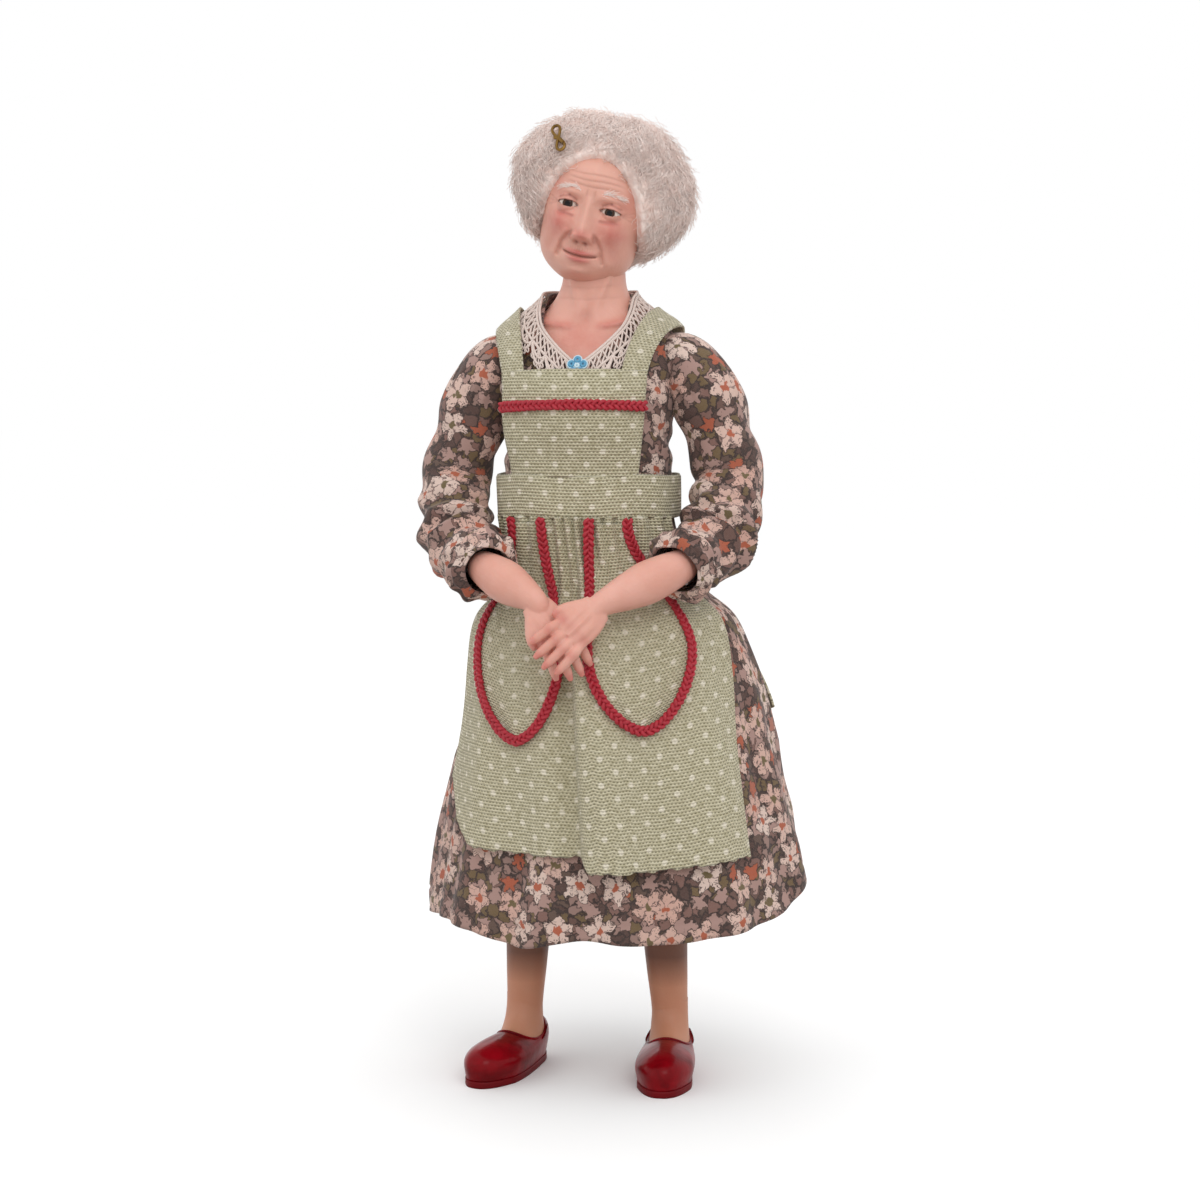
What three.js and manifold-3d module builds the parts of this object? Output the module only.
// A dolls' house grandmother in 1:12 scale, standing with one hand laid over the other.
// Clay head, forearms and lower legs on a wired, wadded body, dressed in sewn cotton.
// Millimetres, +Z up, the doll faces -Y and its own left is +X. Places are given from the body's
// axis on the floor, and the finished doll is moved to stand on the middle of its own box.

import * as THREE from 'three';
import { mergeVertices } from 'three/addons/utils/BufferGeometryUtils.js';
import Module from 'manifold-3d';

const wasm = await Module();
wasm.setup();

const { lerp, smoothstep, clamp } = THREE.MathUtils;
const vec = (x, y, z) => new THREE.Vector3(x, y, z);

// Clearance between neighbouring pieces, and the thickness of each cloth
const GAP = 0.3;
const DRESS_CLOTH = 0.5;
const APRON_CLOTH = 0.45;
const LACE = 0.4;
const BRAID_HEIGHT = 0.8;
const BRAID_WIDTH = 1.3;

// Dress bodice: heights and half sizes of the body under it
const WAIST_Z = 82.5;
const WAIST_HALF_WIDTH = 12;
const WAIST_HALF_DEPTH = 9.4;
const BUST_Z = 94;
const BUST_HALF_WIDTH = 12.2;
const BUST_HALF_DEPTH = 10.4;
const SHOULDER_Z = 103.2;
const SHOULDER_HALF_WIDTH = 13.6;
const SHOULDER_HALF_DEPTH = 8.6;
const NECK_Z = 110.8;
const NECK_HALF_WIDTH = 6.9;
const NECK_HALF_DEPTH = 5.6;
const NECK_BACK_SHIFT = 2;
const NECKLINE_DROP = 0.4;
const NECKLINE_SPREAD = 0.62;
const COLLAR_WIDTH = 0.17;
const PLATE_Z = 97;
const PLATE_TOP = 0.97;
const FLOWER_RADIUS = 1.3;

// Dress skirt: the hem is wide, and hangs further out on the doll's left
const HIP_Z = 66;
const HIP_HALF_WIDTH = 18.2;
const HIP_HALF_DEPTH = 14.8;
const HIP_SHIFT_X = 1.5;
const HIP_SHIFT_Y = 2.8;
const HEM_Z = 25;
const HEM_HALF_WIDTH = 27;
const HEM_HALF_DEPTH = 22.6;
const HEM_SHIFT_X = 4;
const HEM_SHIFT_Y = 3.2;
const HEM_DIP = 2.4;
const HEM_SIDE_RISE = 6.5;
const HEM_SIDE_ANGLE = 0.1;
const HEM_SIDE_SPREAD = 0.55;
const HEM_BACK_RISE = 3.5;
const HEM_BACK_SPREAD = 0.9;
const FOLD_COUNT = 8;
const SECOND_FOLD_COUNT = 5;
const FOLD_DEPTH = 1.2;
const CENTRE_FOLD_DEPTH = 1.6;
const CENTRE_FOLD_ANGLE = -1.62;
const CENTRE_FOLD_SPREAD = 0.1;
const FOLD_PHASE = 0.6;
const SECOND_FOLD_PHASE = 2.1;
const SKIRT_ROWS = 10;
const ROW_CROWDING = 1.4;
const WADDING_EASE = 0.05;
const PELVIS_HALF_WIDTH = 11.2;
const PELVIS_HALF_DEPTH = 8.4;

// Apron: waistband, bib, shoulder straps, gathered skirt, pear shaped pockets and tie
const BAND_WIDTH = 6.1;
const BAND_BELOW_WAIST = 2.3;
const BAND_EASE = 0.9;
const BIB_HEIGHT = 13.7;
const BIB_TOP_WIDTH = 20.2;
const BIB_FOOT_WIDTH = 18.4;
const BIB_BRAID_DROP = 4.6;
const COLLAR_OVERLAP = 5;
const STRAP_WIDTH = 3.7;
const STRAP_SPREAD = 9.9;
const APRON_LENGTH = 47;
const APRON_WRAP = 1.178;
const LAP_HEIGHT = 1.2;
const LAP_ANGLE = -1.42;
const LAP_SPREAD = 0.24;
const LAP_START = 3;
const LAP_FULL = 25;
const POCKET_LENGTH = { right: 30, left: 28.2 };
const POCKET_WIDTH = 12.4;
const POCKET_NECK = 4.2;
const POCKET_TOP_X = { right: -6, left: 3.6 };
const POCKET_FOOT_X = { right: -7.6, left: 8.5 };
const TAIL_WIDTH = 4;
const TAIL_END_Z = 52;
const TAIL_ANGLES = { right: [1.75, 2.15], left: [1.39, 0.34] };
const BOW_LOOP = 8;
const BOW_KNOT = 2.2;
const BOW_DEPTH = 1.4;

// Head: size of the skull, its place and its tilt towards the doll's left
const HEAD_CENTRE = vec(1.2, -1.2, 123);
const HEAD_HALF_WIDTH = 7.2;
const HEAD_HALF_DEPTH = 8.4;
const HEAD_HALF_HEIGHT = 10.3;
const HEAD_TILT = 0.24;
const HEAD_TURN = -0.04;
const HEAD_NOD = 0.1;
const JAW_FULLNESS = 0.2;
const FACE_FLATNESS = 0.94;
const NECK_RADIUS = 4.3;
const EYE_RADIUS = 1.25;
const EYE_SPACING = 6;
const EYE_RISE = 0.6;
const NECK_BENDS = [vec(0.5, 1, 109), vec(0.8, 0.3, 114)];

// Forms raised on the face: place and reach across and up from the head's middle, and height
const FACE_FORMS = {
  nose: { x: 0, z: -2.2, wide: 1.3, tall: 2.2, out: 1.5 },
  rightCheek: { x: -3.6, z: -2.4, wide: 2.2, tall: 2, out: 0.5 },
  leftCheek: { x: 3.6, z: -2.4, wide: 2.2, tall: 2, out: 0.5 },
  chin: { x: 0, z: -8.4, wide: 2.4, tall: 1.6, out: 0.9 },
  brow: { x: 0, z: 2.4, wide: 5, tall: 1.2, out: 0.5 },
  rightSocket: { x: -EYE_SPACING / 2, z: EYE_RISE, wide: 1.5, tall: 1, out: -0.9 },
  leftSocket: { x: EYE_SPACING / 2, z: EYE_RISE, wide: 1.5, tall: 1, out: -0.9 },
  mouth: { x: 0, z: -5.6, wide: 2.2, tall: 0.6, out: -0.4 },
};

// Wig: a full bob, open in front of the face
const WIG_HALF_WIDTH = 13.2;
const WIG_HALF_DEPTH = 11;
const WIG_HALF_HEIGHT = 10.9;
const BOB_FULLNESS = 0.72;
const FRIZZ = 0.032;
const WIG_BACK = 3.2;
const WIG_RISE = 3.4;
const WIG_FOOT_Z = 114.2;
const FACE_WINDOW = vec(-1.2, -11, -3.6);
const FACE_HALF_WIDTH = 7.3;
const FACE_HALF_HEIGHT = 10.6;
const PIN_LENGTH = 3.6;
const PIN_RADIUS = 0.35;
const PIN_PLACE = new THREE.Vector2(0.63, 0.31);

// Arms: shoulder balls, sleeve radii, and the points that each sleeve and forearm follows
const SHOULDER_BALL = 5.1;
const SLEEVE_RADIUS = 5.2;
const SLEEVE_PUCKER = 0.25;
const PUCKER_TURNS = 26;
const CUFF_RADIUS = 4.1;
const CUFF_ROLL = 0.9;
const CUFF_LENGTH = 2.6;
const FOREARM_RADIUS = 2.95;
const WRIST_RADIUS = 1.9;
const PALM_LENGTH = 6.4;
const PALM_WIDTH = 5.6;
const PALM_THICKNESS = 2.4;
const FINGER_LENGTH = 5.2;
const FINGER_REACH = [0.86, 1, 0.96, 0.78];
const FINGER_RADIUS = 0.72;
const WIRE_RADIUS = 0.5;
const HANDS_NORMAL = vec(0.4, -0.86, 0.32).normalize();

const ARMS = [
  {
    side: 'right',
    sleeve: [vec(-15, 0.5, 104.6), vec(-15.6, 0.5, 99.5), vec(-18.9, 0.3, 91.5), vec(-19.3, -0.9, 81),
      vec(-18, -5.6, 74.6), vec(-12.6, -14.1, 71.3)],
    palm: vec(-2.4, -19.3, 66.3),
    fingers: vec(0.51, -0.08, -0.85),
    thumbSide: 1,
  },
  {
    side: 'left',
    sleeve: [vec(15, 0.5, 104.6), vec(15.6, 0.5, 99.5), vec(18.9, 0.5, 91.5), vec(20.2, 0.1, 82),
      vec(20.4, -3.6, 75.8), vec(15.2, -13.4, 71.6)],
    palm: vec(2.4, -20.3, 66.7),
    fingers: vec(-0.61, -0.51, -0.61),
    thumbSide: 1,
  },
];

// Legs: wadded thighs with a ball at the hip, clay lower legs with a ball at the knee
const HIP_JOINT_Z = 60;
const HIP_BALL = 4.4;
const KNEE_Z = 36.5;
const KNEE_BALL = 3.3;
const CALF_RADIUS = 3.25;
const ANKLE_RADIUS = 2.6;
const ANKLE_Z = 8;
const SHOE_LENGTH = 19.5;
const SHOE_WIDTH = 8;
const SHOE_HEIGHT = 6;
const SOLE_THICKNESS = 1.2;
const HEEL_BEHIND_ANKLE = 4.6;
const SOLE_EDGE = 0.25;
const WELL_DEPTH = 4;

const LEGS = [
  {
    side: 'right',
    hip: vec(-6.2, 1.4, HIP_JOINT_Z),
    knee: vec(-8.3, 1, KNEE_Z),
    foot: vec(-9.7, 1.6, 0),
    splay: -0.3,
  },
  {
    side: 'left',
    hip: vec(7, 1.4, HIP_JOINT_Z),
    knee: vec(10, 1, KNEE_Z),
    foot: vec(11.7, 1.6, 0),
    splay: 0.04,
  },
];

// A closed body from points and triangles, turned so that its faces point out
function body(points, faces) {
  let volume = 0;
  for (let f = 0; f < faces.length; f += 3) {
    const [a, b, c] = [points[faces[f]], points[faces[f + 1]], points[faces[f + 2]]];
    volume += a.dot(b.clone().cross(c));
  }
  if (volume < 0) faces.reverse();
  const geometry = new THREE.BufferGeometry().setFromPoints(points);
  geometry.setIndex(faces);
  return geometry;
}

// A body skinned over rings of equally many points, closed at both ends by a fan
function skin(rings) {
  const sides = rings[0].length;
  const points = rings.flat();
  const faces = [];
  for (let r = 0; r < rings.length - 1; r++) {
    for (let i = 0; i < sides; i++) {
      const a = r * sides + i;
      const b = r * sides + ((i + 1) % sides);
      faces.push(a, b, b + sides, a, b + sides, a + sides);
    }
  }
  for (const [ring, first] of [[rings[0], 0], [rings.at(-1), points.length - sides]]) {
    const centre = ring.reduce((sum, point) => sum.add(point), vec(0, 0, 0)).divideScalar(sides);
    const hub = points.push(centre) - 1;
    for (let i = 0; i < sides; i++) {
      const a = first + i;
      const b = first + ((i + 1) % sides);
      faces.push(...(first === 0 ? [b, a, hub] : [a, b, hub]));
    }
  }
  return body(points, faces);
}

// A thin sheet between an inner and an outer face; wrapped sheets close on themselves across u
function sheet(at, acrossSteps, alongSteps, wrapped = false) {
  const columns = wrapped ? acrossSteps : acrossSteps + 1;
  const rows = alongSteps + 1;
  const points = [];
  for (const face of [0, 1]) {
    for (let u = 0; u < columns; u++) {
      for (let v = 0; v < rows; v++) points.push(at(u / acrossSteps, v / alongSteps, face));
    }
  }
  const outer = columns * rows;
  const faces = [];
  const quad = (a, b, c, d) => faces.push(a, b, c, a, c, d);
  for (let u = 0; u < acrossSteps; u++) {
    const here = u * rows;
    const next = ((u + 1) % columns) * rows;
    for (let v = 0; v < alongSteps; v++) {
      quad(outer + here + v, outer + next + v, outer + next + v + 1, outer + here + v + 1);
      quad(here + v + 1, next + v + 1, next + v, here + v);
    }
    quad(here, next, outer + next, outer + here);
    quad(outer + here + alongSteps, outer + next + alongSteps, next + alongSteps, here + alongSteps);
  }
  if (!wrapped) {
    const last = acrossSteps * rows;
    for (let v = 0; v < alongSteps; v++) {
      quad(v, outer + v, outer + v + 1, v + 1);
      quad(last + v + 1, outer + last + v + 1, outer + last + v, last + v);
    }
  }
  return body(points, faces);
}

function toSolid(geometry) {
  const bare = new THREE.BufferGeometry();
  bare.setAttribute('position', geometry.getAttribute('position').clone());
  if (geometry.index) bare.setIndex(geometry.index.clone());
  const merged = mergeVertices(bare, 1e-4);
  const mesh = new wasm.Mesh({
    numProp: 3,
    vertProperties: new Float32Array(merged.getAttribute('position').array),
    triVerts: new Uint32Array(merged.index.array),
  });
  return new wasm.Manifold(mesh);
}

function fromSolid(solid) {
  const mesh = solid.getMesh();
  const geometry = new THREE.BufferGeometry();
  geometry.setAttribute('position', new THREE.BufferAttribute(new Float32Array(mesh.vertProperties), 3));
  geometry.setIndex(new THREE.BufferAttribute(new Uint32Array(mesh.triVerts), 1));
  return geometry;
}

function cut(geometry, ...tools) {
  return fromSolid(tools.reduce((rest, tool) => rest.subtract(toSolid(tool)), toSolid(geometry)));
}

function fuse(first, ...others) {
  return fromSolid(others.reduce((sum, other) => sum.add(toSolid(other)), toSolid(first)));
}

function ball(centre, radius, around = 16, down = 10) {
  return new THREE.SphereGeometry(radius, around, down).translate(centre.x, centre.y, centre.z);
}

function circle(centre, across, up, radius, sides, flat = 1) {
  const ring = [];
  for (let i = 0; i < sides; i++) {
    const angle = (i / sides) * 2 * Math.PI;
    ring.push(centre.clone()
      .addScaledVector(across, radius * Math.cos(angle))
      .addScaledVector(up, flat * radius * Math.sin(angle)));
  }
  return ring;
}

// Value between evenly spaced stations
function between(stations, at) {
  const place = clamp(at, 0, 1) * (stations.length - 1);
  const low = Math.min(Math.floor(place), stations.length - 2);
  return lerp(stations[low], stations[low + 1], place - low);
}

// Rings of a limb along a path, with a radius given by a function of the way along
function limbRings(points, radiusAt, steps, sides) {
  const path = new THREE.CatmullRomCurve3(points);
  const frames = path.computeFrenetFrames(steps, false);
  const rings = [];
  for (let s = 0; s <= steps; s++) {
    const at = s / steps;
    rings.push(circle(path.getPointAt(at), frames.normals[s], frames.binormals[s], radiusAt(at), sides));
  }
  return rings;
}

function limb(points, radii, steps, sides) {
  return skin(limbRings(points, (at) => between(radii, at), steps, sides));
}

const root = new THREE.Group();
function add(name, geometry, colour, roughness, metalness = 0) {
  const material = new THREE.MeshStandardMaterial({ color: colour, roughness, metalness });
  const mesh = new THREE.Mesh(geometry, material);
  mesh.name = name;
  root.add(mesh);
  return mesh;
}

const CLAY = [0xd9a58c, 0.55];
const DRESS_PRINT = [0x8a7d74, 0.9];
const APRON_GREEN = [0xb3c19c, 0.9];
const BRAID_RED = [0xa6182f, 0.8];
const LACE_WHITE = [0xe9e2d6, 0.9];
const WADDING = [0xeae6dc, 0.95];
const WIRE = [0x9a9a98, 0.4, 1];
const EYE_DARK = [0x2b2420, 0.08];
const MOHAIR = [0xd9d4cc, 0.95];
const PIN_BRASS = [0x8a6a35, 0.35, 1];
const THREAD_BLUE = [0x4f8fb0, 0.85];
const SHOE_RED = [0x8c1220, 0.25];
const SOLE_RED = [0x6e0d18, 0.4];

// A station between two others, with its own share of the way in width, depth and height
function station(from, to, width, depth, height) {
  return vec(lerp(from.x, to.x, width), lerp(from.y, to.y, depth), lerp(from.z, to.z, height));
}

// Body form: half width, half depth and height from the waist to the neck
const waist = vec(WAIST_HALF_WIDTH, WAIST_HALF_DEPTH, WAIST_Z);
const bust = vec(BUST_HALF_WIDTH, BUST_HALF_DEPTH, BUST_Z);
const shoulders = vec(SHOULDER_HALF_WIDTH, SHOULDER_HALF_DEPTH, SHOULDER_Z);
const neck = vec(NECK_HALF_WIDTH, NECK_HALF_DEPTH, NECK_Z);
const bodyCurve = new THREE.CatmullRomCurve3([
  waist,
  station(waist, bust, 0.3, 0.5, 0.5),
  bust,
  station(bust, shoulders, 0.8, 0.3, 0.6),
  shoulders,
  station(shoulders, neck, 0.2, 0.42, 0.4),
  station(shoulders, neck, 0.6, 0.76, 0.7),
  neck,
]);
const backShift = (z) => NECK_BACK_SHIFT * smoothstep(z, BUST_Z, NECK_Z);

function bodyRing(at) {
  const row = bodyCurve.getPoint(clamp(at, 0, 1));
  return { halfWidth: row.x, halfDepth: row.y, z: row.z, shiftY: backShift(row.z) };
}

function bodyPoint(angle, at) {
  const ring = bodyRing(at);
  return vec(ring.halfWidth * Math.cos(angle), ring.shiftY + ring.halfDepth * Math.sin(angle), ring.z);
}

function solve(rising, target) {
  let [low, high] = [0, 1];
  for (let i = 0; i < 40; i++) {
    const middle = (low + high) / 2;
    if (rising(middle) < target) low = middle;
    else high = middle;
  }
  return low;
}
const bodyAtHeight = (z) => solve((at) => bodyRing(at).z, z);

// A point of a surface, moved out along the surface's own normal
function raised(surface, u, v, distance) {
  const step = 1e-3;
  const across = surface(u + step, v).sub(surface(u - step, v));
  const along = surface(u, Math.min(v + step, 1)).sub(surface(u, Math.max(v - step, 0)));
  return surface(u, v).addScaledVector(across.cross(along).normalize(), distance);
}

// Skirt form: the folds grow from nothing at the waist to full depth at the hem
const hip = vec(HIP_HALF_WIDTH, HIP_HALF_DEPTH, HIP_Z);
const hem = vec(HEM_HALF_WIDTH, HEM_HALF_DEPTH, HEM_Z);
const skirtTop = WAIST_Z - GAP;
const skirtCurve = new THREE.CatmullRomCurve3([
  vec(WAIST_HALF_WIDTH, WAIST_HALF_DEPTH, skirtTop),
  station(waist, hip, 0.1, 0.15, 0.4),
  station(waist, hip, 0.36, 0.45, 0.74),
  hip,
  station(hip, hem, 0.24, 0.22, 0.16),
  station(hip, hem, 0.48, 0.48, 0.38),
  station(hip, hem, 0.74, 0.74, 0.66),
  hem,
]);
const skirtAtHeight = (z) => solve((at) => -skirtCurve.getPoint(at).z, -z);
const skirtRow = (row) => lerp(skirtTop, HEM_Z, (row / SKIRT_ROWS) ** ROW_CROWDING);
const skirtRows = Array.from({ length: SKIRT_ROWS + 1 }, (_, row) => skirtRow(row));

function skirtShift(z) {
  const toHip = smoothstep(WAIST_Z - z, 0, WAIST_Z - HIP_Z);
  const toHem = smoothstep(HIP_Z - z, 0, HIP_Z - HEM_Z);
  return new THREE.Vector2(
    lerp(HIP_SHIFT_X * toHip, HEM_SHIFT_X, toHem),
    lerp(HIP_SHIFT_Y * toHip, HEM_SHIFT_Y, toHem),
  );
}

function skirtRowPoint(angle, z, distance) {
  const half = skirtCurve.getPoint(skirtAtHeight(z));
  const shift = skirtShift(z);
  const gather = smoothstep(WAIST_Z - z, 2, WAIST_Z - HEM_Z);
  const folds = Math.cos(FOLD_COUNT * angle + FOLD_PHASE);
  const slowFolds = Math.cos(SECOND_FOLD_COUNT * angle + SECOND_FOLD_PHASE);
  const waves = (2 * folds + slowFolds) / 3;
  const centreFold = Math.exp(-(((angle - CENTRE_FOLD_ANGLE) / CENTRE_FOLD_SPREAD) ** 2));
  const out = distance + gather * (FOLD_DEPTH * waves - CENTRE_FOLD_DEPTH * centreFold);
  return vec(shift.x + (half.x + out) * Math.cos(angle), shift.y + (half.y + out) * Math.sin(angle), z);
}

// Every layer on the skirt lies on the same rows, so that none cuts through the one below it
function skirtPoint(angle, z, distance) {
  let row = 0;
  while (row < SKIRT_ROWS - 1 && skirtRows[row + 1] > z) row++;
  const share = (skirtRows[row] - z) / (skirtRows[row] - skirtRows[row + 1]);
  const above = skirtRowPoint(angle, skirtRows[row], distance);
  const below = skirtRowPoint(angle, skirtRows[row + 1], distance);
  return above.lerp(below, share);
}

// The hem dips in front, and rides up behind and where the skirt swings out
function hemHeight(angle) {
  const near = (middle, spread) => Math.exp(-((2 * Math.sin((angle - middle) / 2) / spread) ** 2));
  const side = HEM_SIDE_RISE * near(HEM_SIDE_ANGLE, HEM_SIDE_SPREAD);
  return HEM_Z - HEM_DIP + side + HEM_BACK_RISE * near(Math.PI / 2, HEM_BACK_SPREAD);
}

// Heights of a layer's rows: its own ends, and the rows of the skirt between them
function layerRows(top, foot) {
  return [top, ...skirtRows.filter((z) => z < top - 0.8 && z > foot + 0.8), foot];
}

// Dress: bodice with a V neckline, and the gathered skirt that is sewn to it at the waist
const neckline = (angle) => 1 - NECKLINE_DROP * Math.exp(-(((angle + Math.PI / 2) / NECKLINE_SPREAD) ** 2));
const wrapAngle = (u) => u * 2 * Math.PI - 1.5 * Math.PI;
const shoulderBalls = ARMS.map((arm) => ball(arm.sleeve[1], SHOULDER_BALL + 3.6 * GAP, 20, 14));

const bodiceShell = sheet((u, v, face) => {
  const angle = wrapAngle(u);
  return raised(bodyPoint, angle, v * neckline(angle), face ? 0 : -DRESS_CLOTH);
}, 28, 7, true);
add('bodice', cut(bodiceShell, ...shoulderBalls), ...DRESS_PRINT);

add('skirt', sheet((u, v, face) => {
  const angle = wrapAngle(u);
  const z = v === 1 ? hemHeight(angle) : skirtRows[Math.round(v * SKIRT_ROWS)];
  return skirtPoint(angle, z, face ? 0 : -DRESS_CLOTH);
}, 48, SKIRT_ROWS, true), ...DRESS_PRINT);

add('lace_collar', cut(sheet((u, v, face) => {
  const angle = wrapAngle(u);
  const edge = neckline(angle);
  return raised(bodyPoint, angle, edge - COLLAR_WIDTH * (1 - v) * 0.9, GAP + face * LACE);
}, 28, 2, true), ...shoulderBalls), ...LACE_WHITE);

// Wadded torso under the dress, with sockets for the hip and shoulder balls
const inside = DRESS_CLOTH + GAP;
const ringSides = 20;
function ringOf(point) {
  const ring = [];
  for (let i = 0; i < ringSides; i++) ring.push(point((i / ringSides) * 2 * Math.PI));
  return ring;
}
const torsoRings = [];
for (let row = 0; row <= 4; row++) {
  const z = lerp(HIP_JOINT_Z, WAIST_Z - GAP, row / 4);
  const halfWidth = lerp(PELVIS_HALF_WIDTH, WAIST_HALF_WIDTH - inside, smoothstep(row / 4, 0.2, 1));
  const halfDepth = lerp(PELVIS_HALF_DEPTH, WAIST_HALF_DEPTH - inside, smoothstep(row / 4, 0.2, 1));
  const shift = skirtShift(z).y * 0.3;
  const oval = (angle) => vec(halfWidth * Math.cos(angle), shift + halfDepth * Math.sin(angle), z);
  torsoRings.push(ringOf(oval));
}
const plateFoot = bodyAtHeight(PLATE_Z);
const torsoTop = bodyAtHeight(PLATE_Z - GAP);
for (let row = 1; row <= 4; row++) {
  const at = lerp(0, torsoTop, row / 4);
  torsoRings.push(ringOf((angle) => raised(bodyPoint, angle, at, -inside - WADDING_EASE)));
}
const hipBalls = LEGS.map((leg) => ball(leg.hip, HIP_BALL + GAP));
add('torso', cut(skin(torsoRings), ...hipBalls, ...shoulderBalls), ...WADDING);

// Head, neck and shoulder plate: one piece of clay, with the eyes set into it
const headTurn = new THREE.Euler(HEAD_NOD, HEAD_TILT, -HEAD_TURN, 'ZYX');
const placeHead = (point) => point.applyEuler(headTurn).add(HEAD_CENTRE);

function headPoint(u, v, grow) {
  const polar = v * Math.PI;
  const angle = u * 2 * Math.PI;
  const around = Math.sin(polar);
  const direction = vec(around * Math.cos(angle), around * Math.sin(angle), Math.cos(polar));
  const front = clamp(-direction.y, 0, 1);
  const jaw = smoothstep(-direction.z, 0.2, 0.85);
  const halfWidth = HEAD_HALF_WIDTH * (1 + JAW_FULLNESS * jaw);
  const halfDepth = HEAD_HALF_DEPTH * (direction.y > 0 ? 1 : FACE_FLATNESS);
  const point = vec(direction.x * halfWidth, direction.y * halfDepth, direction.z * HEAD_HALF_HEIGHT);
  const lift = Object.values(FACE_FORMS).reduce((sum, form) => {
    const away = ((point.x - form.x) / form.wide) ** 2 + ((point.z - form.z) / form.tall) ** 2;
    return sum + form.out * Math.exp(-away);
  }, 0);
  point.y -= front * lift;
  return placeHead(point.addScaledVector(direction, grow));
}

function headSkin(grow, around, down) {
  const rings = [];
  for (let row = 1; row < down; row++) {
    const ring = [];
    for (let i = 0; i < around; i++) ring.push(headPoint(i / around, row / down, grow));
    rings.push(ring);
  }
  return skin(rings);
}

const neckFoot = vec(0, NECK_BACK_SHIFT - 0.4, PLATE_Z + 4);
const neckRoute = [neckFoot, ...NECK_BENDS, HEAD_CENTRE.clone().add(vec(0, 1, -3))];
const neckRadii = [NECK_RADIUS + 1.2, NECK_RADIUS + 0.5, NECK_RADIUS - 0.1, NECK_RADIUS];
const plateRings = [];
for (let row = 0; row <= 6; row++) {
  const at = lerp(plateFoot, PLATE_TOP, row / 6);
  plateRings.push(ringOf((angle) => raised(bodyPoint, angle, at, -inside - WADDING_EASE)));
}
const eyeY = 2 - HEAD_HALF_DEPTH * FACE_FLATNESS;
const eyeCentre = (side) => placeHead(vec(side * EYE_SPACING / 2, eyeY, EYE_RISE));
const eyes = [['right', -1], ['left', 1]].map(([side, sign]) => [side, eyeCentre(sign)]);
const clayHead = fuse(headSkin(0, 26, 20), limb(neckRoute, neckRadii, 5, 14), skin(plateRings));
const sockets = eyes.map(([, centre]) => ball(centre, EYE_RADIUS + 0.1, 10, 8));
add('head_and_shoulder_plate', cut(clayHead, ...shoulderBalls, ...sockets), ...CLAY);
for (const [side, centre] of eyes) add(`eye_${side}`, ball(centre, EYE_RADIUS, 10, 8), ...EYE_DARK);

// Mohair wig: a full bob, glued on all round the head behind the face
function wigPoint(u, v) {
  const polar = v * Math.PI;
  const angle = u * 2 * Math.PI;
  const lobes = Math.cos(5 * angle + 1) * Math.sin(polar) + Math.cos(4 * polar + 2 * angle);
  const frizz = 1 + FRIZZ * lobes;
  const full = frizz * Math.sin(polar) ** BOB_FULLNESS;
  return placeHead(vec(
    full * WIG_HALF_WIDTH * Math.cos(angle),
    full * WIG_HALF_DEPTH * Math.sin(angle) + WIG_BACK,
    frizz * WIG_HALF_HEIGHT * Math.cos(polar) + WIG_RISE,
  ));
}
const wigRings = [];
for (let row = 1; row < 15; row++) {
  const ring = [];
  for (let i = 0; i < 24; i++) ring.push(wigPoint(i / 24, row / 15));
  wigRings.push(ring);
}
const faceWindow = new THREE.SphereGeometry(1, 16, 12)
  .scale(FACE_HALF_WIDTH, HEAD_HALF_DEPTH + 4, FACE_HALF_HEIGHT)
  .rotateZ(-HEAD_TURN)
  .translate(...HEAD_CENTRE.clone().add(FACE_WINDOW));
const grownNeck = limb(neckRoute, neckRadii.map((radius) => radius + GAP), 5, 14);
const collarRoom = new THREE.BoxGeometry(40, 40, 30).translate(0, 0, WIG_FOOT_Z - 15);
const wigTools = [headSkin(GAP, 20, 14), grownNeck, faceWindow, collarRoom];
add('wig', cut(skin(wigRings), ...wigTools), ...MOHAIR);

// Hair pin: a short brass wire pushed through the front of the wig
const pinDepth = -PIN_RADIUS - 1.5 * GAP;
const pinSeat = raised(wigPoint, PIN_PLACE.x, PIN_PLACE.y, pinDepth);
const pinNext = raised(wigPoint, PIN_PLACE.x, PIN_PLACE.y + 0.02, pinDepth);
const pinAlong = pinNext.sub(pinSeat).setLength(PIN_LENGTH / 2);
const pinEnds = [pinSeat.clone().sub(pinAlong), pinSeat, pinSeat.clone().add(pinAlong)];
add('hair_pin', limb(pinEnds, [PIN_RADIUS, PIN_RADIUS], 2, 8), ...PIN_BRASS);

// Apron: the band lies round the waist over the seam of the dress, and carries bib and skirt
const bandFoot = WAIST_Z - BAND_BELOW_WAIST;
const bandTop = bandFoot + BAND_WIDTH;
const bibFoot = bandTop + GAP;
const bibTop = bibFoot + BIB_HEIGHT;
const overCollar = LACE + 2 * GAP;
const overApron = APRON_CLOTH + 2 * GAP;

add('apron_waistband', sheet((u, v, face) => {
  const angle = wrapAngle(u);
  const out = BAND_EASE + face * APRON_CLOTH;
  return vec(
    (WAIST_HALF_WIDTH + out) * Math.cos(angle),
    (WAIST_HALF_DEPTH + out) * Math.sin(angle),
    lerp(bandFoot, bandTop, v),
  );
}, 32, 1, true), ...APRON_GREEN);

// A point over the front of the bodice, across by x at a height, raised off the cloth
function bibPoint(x, z, distance) {
  const at = bodyAtHeight(z);
  const angle = -Math.acos(x / bodyRing(at).halfWidth);
  return raised(bodyPoint, angle, at, distance);
}
const bibLift = (z) => lerp(GAP, overCollar, smoothstep(z, bibFoot, bibTop - COLLAR_OVERLAP));
const bibWidthAt = (z) => lerp(BIB_FOOT_WIDTH, BIB_TOP_WIDTH, (z - bibFoot) / BIB_HEIGHT);

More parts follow.
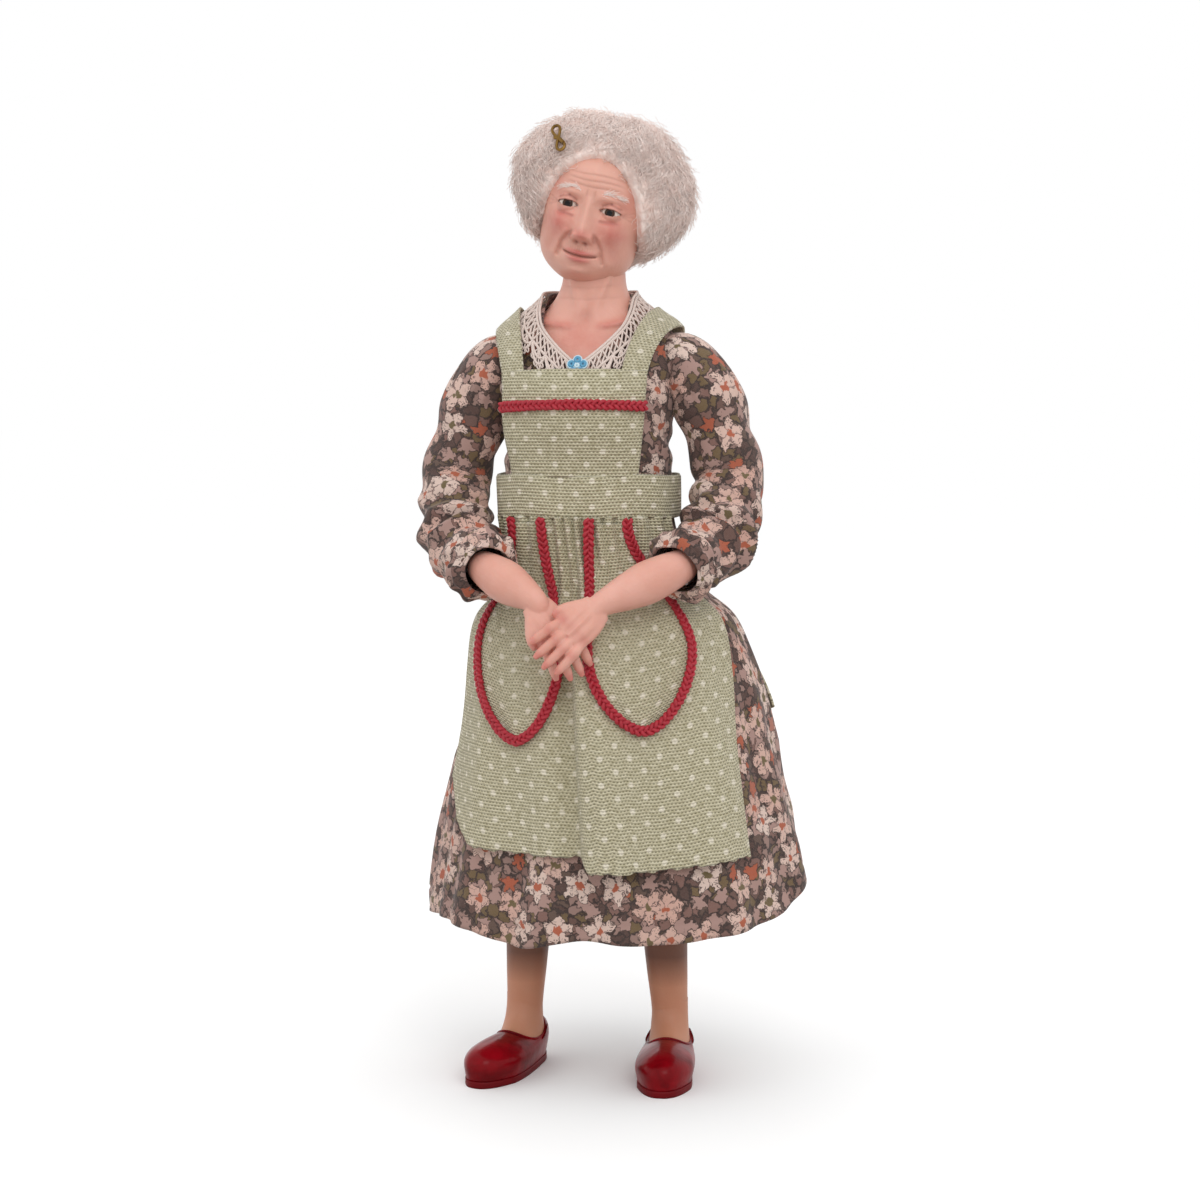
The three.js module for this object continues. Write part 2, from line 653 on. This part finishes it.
add('apron_bib', sheet((u, v, face) => {
  const z = lerp(bibFoot, bibTop, v);
  return bibPoint((u - 0.5) * bibWidthAt(z), z, bibLift(z) + face * APRON_CLOTH);
}, 8, 6), ...APRON_GREEN);

const braidZ = bibTop - BIB_BRAID_DROP;
add('bib_braid', sheet((u, v, face) => {
  const z = braidZ + (v - 0.5) * BRAID_WIDTH;
  return bibPoint((u - 0.5) * bibWidthAt(z), z, bibLift(z) + APRON_CLOTH + GAP + face * BRAID_HEIGHT);
}, 8, 1), ...BRAID_RED);

// Straps run from the bib's corners over the shoulders and down the back to the band
const shoulderShare = 4 / 7;
const strapFront = bodyAtHeight(bibTop + GAP);
const strapBack = bodyAtHeight(bandTop + GAP);
function strapPoint(x, along) {
  const narrowing = (share) => -bodyRing(lerp(shoulderShare, 1, share)).halfWidth;
  const ridge = lerp(shoulderShare, 1, solve(narrowing, -Math.abs(x)));
  const away = Math.abs(1 - 2 * along);
  const at = lerp(ridge, along < 0.5 ? strapFront : strapBack, away * away);
  const ring = bodyRing(at);
  const share = Math.sqrt(Math.max(0, 1 - (x / ring.halfWidth) ** 2));
  return vec(x, ring.shiftY + (along < 0.5 ? -1 : 1) * ring.halfDepth * share, ring.z);
}
for (const [side, sign] of [['right', -1], ['left', 1]]) {
  const corner = (BIB_TOP_WIDTH - STRAP_WIDTH) / 2;
  add(`apron_strap_${side}`, sheet((u, v, face) => {
    const spread = lerp(corner, STRAP_SPREAD, Math.sin(Math.PI * v));
    const lift = lerp(overCollar, GAP, smoothstep(v, 0.6, 1));
    const x = sign * spread + (u - 0.5) * STRAP_WIDTH;
    return raised(strapPoint, x, v, lift + face * APRON_CLOTH);
  }, 2, 14), ...APRON_GREEN);
}

// Apron skirt, hanging on the folds of the dress from below the band, with one half lapped in front
const apronTop = bandFoot - GAP;
function lapOut(angle, z) {
  const across = Math.exp(-(((angle - LAP_ANGLE) / LAP_SPREAD) ** 2));
  return LAP_HEIGHT * smoothstep(apronTop - z, LAP_START, LAP_FULL) * across;
}
const apronRows = layerRows(apronTop, bandFoot - APRON_LENGTH);
add('apron_skirt', sheet((u, v, face) => {
  const angle = -Math.PI / 2 + (u - 0.5) * 2 * APRON_WRAP;
  const z = apronRows[Math.round(v * (apronRows.length - 1))];
  return skirtPoint(angle, z, GAP + lapOut(angle, z) + face * APRON_CLOTH);
}, 18, apronRows.length - 1), ...APRON_GREEN);

// Pear shaped pockets: narrow at the band and round at the foot, edged with looped braid
const POCKET_WIDEST = 0.62;
function pearHalf(v) {
  if (v < POCKET_WIDEST) return lerp(POCKET_NECK, POCKET_WIDTH, smoothstep(v, 0, POCKET_WIDEST)) / 2;
  return (POCKET_WIDTH / 2) * Math.sqrt(Math.max(0, 1 - ((v - POCKET_WIDEST) / (1 - POCKET_WIDEST)) ** 2));
}
function pearEdge(s) {
  const sideShare = 0.36;
  if (s > 0.5) {
    const [x, v] = pearEdge(1 - s);
    return [-x, v];
  }
  if (s < sideShare) {
    const v = (s / sideShare) * POCKET_WIDEST;
    return [-pearHalf(v), v];
  }
  const turn = ((s - sideShare) / (0.5 - sideShare)) * (Math.PI / 2);
  return [-(POCKET_WIDTH / 2) * Math.cos(turn), POCKET_WIDEST + (1 - POCKET_WIDEST) * Math.sin(turn)];
}
function pocketPoint(side, x, drop, distance) {
  const z = apronTop - drop;
  const toFoot = smoothstep(drop / POCKET_LENGTH[side], 0, POCKET_WIDEST);
  const middle = lerp(POCKET_TOP_X[side], POCKET_FOOT_X[side], toFoot);
  const half = skirtCurve.getPoint(skirtAtHeight(z));
  const angle = -Math.PI / 2 + (middle + x - skirtShift(z).x) / ((half.x + half.y) / 2 + distance);
  return skirtPoint(angle, z, distance + lapOut(angle, z));
}
for (const [side, length] of Object.entries(POCKET_LENGTH)) {
  const pocketFoot = apronTop - GAP - length;
  const pocketRows = layerRows(apronTop - GAP, pocketFoot + 3);
  pocketRows.push(pocketFoot + 1.2, pocketFoot + 0.35);
  add(`pocket_${side}`, sheet((u, v, face) => {
    const drop = apronTop - pocketRows[Math.round(v * (pocketRows.length - 1))];
    const half = pearHalf((drop - GAP) / length);
    return pocketPoint(side, (u - 0.5) * 2 * half, drop, overApron + face * APRON_CLOTH);
  }, 5, pocketRows.length - 1), ...APRON_GREEN);
  add(`pocket_braid_${side}`, sheet((u, v, face) => {
    const [x, down] = pearEdge(v);
    const [xBefore, downBefore] = pearEdge(Math.max(0, v - 0.004));
    const [xAfter, downAfter] = pearEdge(Math.min(1, v + 0.004));
    const along = new THREE.Vector2(xAfter - xBefore, (downAfter - downBefore) * length).normalize();
    const off = GAP + u * BRAID_WIDTH;
    const drop = GAP + down * length + off * along.x;
    return pocketPoint(side, x - off * along.y, Math.max(GAP, drop), overApron + face * BRAID_HEIGHT);
  }, 1, 28), ...BRAID_RED);
}

// Apron tie: a bow at the back of the band with two tails down the skirt
const bowY = WAIST_HALF_DEPTH + BAND_EASE + APRON_CLOTH + GAP + BOW_DEPTH;
const bowZ = (bandFoot + bandTop) / 2;
add('bow_knot', new THREE.SphereGeometry(1, 10, 6)
  .scale(BOW_KNOT, BOW_DEPTH, BOW_KNOT)
  .translate(0, bowY, bowZ), ...APRON_GREEN);
for (const [side, sign] of [['right', -1], ['left', 1]]) {
  add(`bow_loop_${side}`, sheet((u, v, face) => {
    const thick = (face - 1) * APRON_CLOTH;
    const open = Math.sin(Math.PI * u);
    return vec(
      sign * (BOW_KNOT + GAP + (BOW_LOOP + thick) * open),
      bowY + (BOW_DEPTH + thick) * Math.cos(Math.PI * u),
      bowZ + (v - 0.5) * TAIL_WIDTH * (0.6 + 0.6 * open),
    );
  }, 10, 2), ...APRON_GREEN);
}
for (const [side, [startAngle, endAngle]] of Object.entries(TAIL_ANGLES)) {
  add(`bow_tail_${side}`, sheet((u, v, face) => {
    const z = lerp(bandFoot - GAP, TAIL_END_Z, v);
    const across = ((u - 0.5) * TAIL_WIDTH) / (WAIST_HALF_WIDTH + 6 * v);
    return skirtPoint(lerp(startAngle, endAngle, v) + across, z, GAP + face * APRON_CLOTH);
  }, 3, 16), ...APRON_GREEN);
}

// Collar flower: a small thread motif sewn on the point of the lace
const flowerAt = bodyAtHeight(bibTop + FLOWER_RADIUS + 2 * GAP);
const flowerSeat = raised(bodyPoint, -Math.PI / 2, flowerAt, overCollar + 0.3);
add('collar_flower', new THREE.SphereGeometry(1, 10, 6)
  .scale(FLOWER_RADIUS, 0.35, FLOWER_RADIUS)
  .translate(flowerSeat.x, flowerSeat.y - 0.35, flowerSeat.z), ...THREAD_BLUE);

// Arms: a wadded, wired upper arm in its sleeve, and a clay forearm with its hand
for (const arm of ARMS) {
  const path = new THREE.CatmullRomCurve3(arm.sleeve);
  const length = path.getLength();
  const mouth = 1 - CUFF_LENGTH / length;
  const sleeveRadius = (at) => {
    const depth = at * length;
    const dome = Math.sqrt(Math.max(0.4, SHOULDER_BALL ** 2 - Math.max(0, SHOULDER_BALL - depth) ** 2));
    const tube = lerp(SLEEVE_RADIUS, CUFF_RADIUS, smoothstep(at, 0.72, mouth));
    const bent = smoothstep(at, 0.3, 0.5) * (1 - smoothstep(at, 0.75, mouth));
    const pucker = SLEEVE_PUCKER * bent * Math.sin(PUCKER_TURNS * at);
    return Math.min(dome, lerp(SHOULDER_BALL, tube, smoothstep(at, 0.15, 0.4)) + pucker);
  };
  const steps = 16;
  const outer = limbRings(arm.sleeve, sleeveRadius, steps, 12);
  const inner = limbRings(arm.sleeve, (at) => sleeveRadius(at) - DRESS_CLOTH, steps, 12).slice(2).reverse();
  add(`sleeve_${arm.side}`, skin([...outer, ...inner]), ...DRESS_PRINT);

  const frames = path.computeFrenetFrames(steps, false);
  const [across, up] = [frames.normals[steps], frames.binormals[steps]];
  add(`cuff_${arm.side}`, sheet((u, v, face) => {
    const centre = path.getPointAt(lerp(mouth, 1, v));
    const radius = CUFF_RADIUS + GAP + face * (0.3 + CUFF_ROLL * Math.sin(Math.PI * v));
    const angle = u * 2 * Math.PI;
    return centre
      .addScaledVector(across, radius * Math.cos(angle))
      .addScaledVector(up, radius * Math.sin(angle));
  }, 16, 3, true), ...DRESS_PRINT);

  const stretch = (from, to, count) => {
    const share = (i) => lerp(from, to, i / (count - 1));
    return Array.from({ length: count }, (_, i) => path.getPointAt(share(i)));
  };
  const armEnd = 0.8;
  const armStart = 0.22;
  const coreRadius = (at) => sleeveRadius(lerp(armStart, armEnd, at)) - DRESS_CLOTH - 2 * GAP;
  const core = limbRings(stretch(armStart, armEnd, 8), coreRadius, 6, 8);
  add(`upper_arm_${arm.side}`, skin(core), ...WADDING);
  const wire = limb(stretch(armEnd + 0.01, 0.985, 4), [WIRE_RADIUS, WIRE_RADIUS], 3, 6);
  add(`arm_wire_${arm.side}`, wire, ...WIRE);

  const fingerAlong = arm.fingers.clone().projectOnPlane(HANDS_NORMAL).normalize();
  const palmAcross = fingerAlong.clone().cross(HANDS_NORMAL);
  const elbow = path.getPointAt(1);
  const wrist = arm.palm.clone().addScaledVector(fingerAlong, -PALM_LENGTH / 2 - 0.6);
  const middle = elbow.clone().lerp(wrist, 0.5);
  const palmStart = arm.palm.clone().addScaledVector(fingerAlong, -PALM_LENGTH / 4);
  const forearmRadii = [0.92, 1, 0.9].map((share) => share * FOREARM_RADIUS);
  forearmRadii.push(WRIST_RADIUS, 0.6 * WRIST_RADIUS);
  const forearm = limb([elbow, middle, wrist, palmStart], forearmRadii, 8, 10);
  const palmRings = [];
  for (let row = 0; row <= 4; row++) {
    const share = row / 4;
    const swell = 0.55 + 0.45 * Math.sin(Math.PI * (0.15 + 0.62 * share));
    const centre = arm.palm.clone().addScaledVector(fingerAlong, (share - 0.5) * PALM_LENGTH);
    const radius = swell * PALM_WIDTH / 2;
    palmRings.push(circle(centre, palmAcross, HANDS_NORMAL, radius, 10, PALM_THICKNESS / PALM_WIDTH));
  }
  const fingerRadii = [1, 1, 0.9, 0.5].map((share) => share * FINGER_RADIUS);
  const fingers = FINGER_REACH.map((share, finger) => {
    const offset = (finger - 1.5) * FINGER_RADIUS * 1.75;
    const reach = FINGER_LENGTH * share;
    const knuckle = arm.palm.clone()
      .addScaledVector(fingerAlong, PALM_LENGTH / 2 - 1)
      .addScaledVector(palmAcross, offset);
    const tip = knuckle.clone()
      .addScaledVector(fingerAlong, reach + 1)
      .addScaledVector(palmAcross, offset * 0.3);
    return limb([knuckle, knuckle.clone().lerp(tip, 0.5), tip], fingerRadii, 3, 6);
  });
  const thumbRoot = arm.palm.clone().addScaledVector(fingerAlong, -PALM_LENGTH * 0.25)
    .addScaledVector(palmAcross, arm.thumbSide * PALM_WIDTH * 0.3);
  const thumbTip = thumbRoot.clone().addScaledVector(fingerAlong, FINGER_LENGTH * 0.75)
    .addScaledVector(palmAcross, arm.thumbSide * FINGER_LENGTH * 0.32);
  const thumbRadii = [1.2, 1.15, 1, 0.5].map((share) => share * FINGER_RADIUS);
  const thumb = limb([thumbRoot, thumbRoot.clone().lerp(thumbTip, 0.5), thumbTip], thumbRadii, 3, 6);
  add(`forearm_${arm.side}`, fuse(forearm, skin(palmRings), ...fingers, thumb), ...CLAY);
}

// Legs: wadded thigh, clay lower leg, and a sculpted slip-on shoe on its sole
for (const leg of LEGS) {
  const thighTop = leg.hip.clone().add(vec(0, 0, HIP_BALL - 0.1));
  const thighRoute = [thighTop, leg.hip, leg.hip.clone().lerp(leg.knee, 0.5), leg.knee];
  const thigh = skin(limbRings(thighRoute, (at) => {
    const depth = at * (HIP_BALL + leg.hip.distanceTo(leg.knee));
    const dome = Math.sqrt(Math.max(0.3, HIP_BALL ** 2 - Math.max(0, HIP_BALL - depth) ** 2));
    return Math.min(dome, lerp(HIP_BALL - 0.2, KNEE_BALL + GAP + 0.4, at));
  }, 9, 12));
  add(`thigh_${leg.side}`, cut(thigh, ball(leg.knee, KNEE_BALL + GAP)), ...WADDING);

  const ankle = vec(leg.foot.x, leg.foot.y, ANKLE_Z);
  const legFoot = vec(leg.foot.x, leg.foot.y, SOLE_THICKNESS + 2 * GAP + 0.8);
  const shinPoint = (share) => leg.knee.clone().lerp(ankle, share);
  const shinRoute = [leg.knee, shinPoint(0.35), shinPoint(0.7), ankle, legFoot];
  const calfRadii = [0.92, 0.97, 1, 0.95].map((share) => share * CALF_RADIUS);
  const shinRadii = [...calfRadii, ANKLE_RADIUS + 0.15, ANKLE_RADIUS, ANKLE_RADIUS + 0.2];
  const shin = fuse(limb(shinRoute, shinRadii, 10, 12), ball(leg.knee, KNEE_BALL, 14, 10));
  add(`lower_leg_${leg.side}`, shin, ...CLAY);

  const forward = vec(Math.sin(leg.splay), -Math.cos(leg.splay), 0);
  const sideways = vec(-forward.y, forward.x, 0);
  const heel = leg.foot.clone().addScaledVector(forward, -HEEL_BEHIND_ANKLE);
  const footHalf = (at) => (SHOE_WIDTH / 2) * between([0.42, 0.74, 0.78, 0.86, 0.98, 1, 0.86, 0.4], at);
  const topAt = (at) => SHOE_HEIGHT * between([0.8, 1, 1, 0.98, 0.86, 0.7, 0.55, 0.3], at);
  const shoeFoot = SOLE_THICKNESS + GAP;
  const shoeRings = [];
  for (let row = 0; row <= 10; row++) {
    const at = row / 10;
    const centre = heel.clone().addScaledVector(forward, at * SHOE_LENGTH);
    const ring = [];
    for (let i = 0; i < 12; i++) {
      const angle = (i / 12) * 2 * Math.PI;
      const rise = Math.max(0, Math.sin(angle)) ** 0.7;
      ring.push(centre.clone()
        .addScaledVector(sideways, footHalf(at) * Math.cos(angle))
        .setZ(shoeFoot + (topAt(at) - shoeFoot) * rise));
    }
    shoeRings.push(ring);
  }
  const wellRadius = ANKLE_RADIUS + 2 * GAP;
  const grownShin = limb(shinRoute.slice(2), [CALF_RADIUS + 0.4, wellRadius, wellRadius], 4, 12);
  const wellTool = new THREE.CylinderGeometry(wellRadius, wellRadius, WELL_DEPTH, 14)
    .rotateX(Math.PI / 2)
    .translate(legFoot.x, legFoot.y, legFoot.z + WELL_DEPTH / 2 - GAP);
  add(`shoe_${leg.side}`, cut(skin(shoeRings), grownShin, wellTool), ...SHOE_RED);

  const outline = (z) => {
    const ring = [];
    for (let i = 0; i < 28; i++) {
      const turn = i / 14;
      const at = turn < 1 ? turn : 2 - turn;
      const edge = (turn < 1 ? 1 : -1) * (footHalf(at) + SOLE_EDGE) * (i % 14 === 0 ? 0 : 1);
      ring.push(heel.clone().addScaledVector(forward, at * (SHOE_LENGTH + 2 * SOLE_EDGE) - SOLE_EDGE)
        .addScaledVector(sideways, edge).setZ(z));
    }
    return ring;
  };
  add(`sole_${leg.side}`, skin([outline(0), outline(SOLE_THICKNESS)]), ...SOLE_RED);
}

// The origin is on the floor, under the middle of the whole doll
const wholeBox = new THREE.Box3().setFromObject(root);
const wholeMiddle = wholeBox.getCenter(vec(0, 0, 0));
root.position.set(-wholeMiddle.x, -wholeMiddle.y, -wholeBox.min.z);

export default root;
